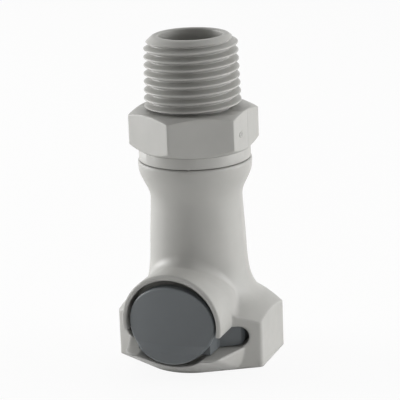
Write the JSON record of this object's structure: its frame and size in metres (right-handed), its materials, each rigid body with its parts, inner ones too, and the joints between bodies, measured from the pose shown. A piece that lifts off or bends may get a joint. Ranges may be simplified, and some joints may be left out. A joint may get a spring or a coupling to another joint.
{
  "type": "plastic quick disconnect coupling",
  "caption": "Moulded plastic quick disconnect coupling body with a sprung thumb latch, a shut-off valve inside and a tapered pipe thread with a wrench hexagon.",
  "frame": {"origin": "centre of the mouth face, on the flow axis, where the male insert goes in", "axes": "+Z along the flow axis from the mouth to the threaded end, -Y out of the thumb pad, +X to the right seen from the pad"},
  "size_m": [0.034, 0.0364, 0.0725],
  "materials": {
    "body_plastic": "satin moulded light warm grey plastic",
    "latch_plastic": "satin moulded dark blue-grey plastic",
    "spring_steel": "drawn stainless wire",
    "seal_rubber": "black moulded rubber"
  },
  "bodies": {
    "root": {"body": "body_plastic", "threaded_termination": "body_plastic", "termination_seal": "seal_rubber", "latch_pin": "spring_steel", "latch_spring": "spring_steel", "valve_guide": "body_plastic", "valve_spring": "spring_steel"},
    "latch": {"thumb_latch": "latch_plastic"},
    "valve": {"valve_poppet": "body_plastic", "poppet_seal": "seal_rubber"}
  },
  "joints": [
    {"name": "latch_slide", "type": "slide", "parent": "root", "child": "latch", "axis": [0, 1, 0], "range_m": [0, 0.003], "stiffness_N_per_m": 900, "springref_m": -0.001, "deforming": ["latch_spring"]},
    {"name": "valve_slide", "type": "slide", "parent": "root", "child": "valve", "axis": [0, 0, 1], "range_m": [0, 0.0035], "stiffness_N_per_m": 900, "springref_m": -0.001, "deforming": ["valve_spring"]}
  ]
}
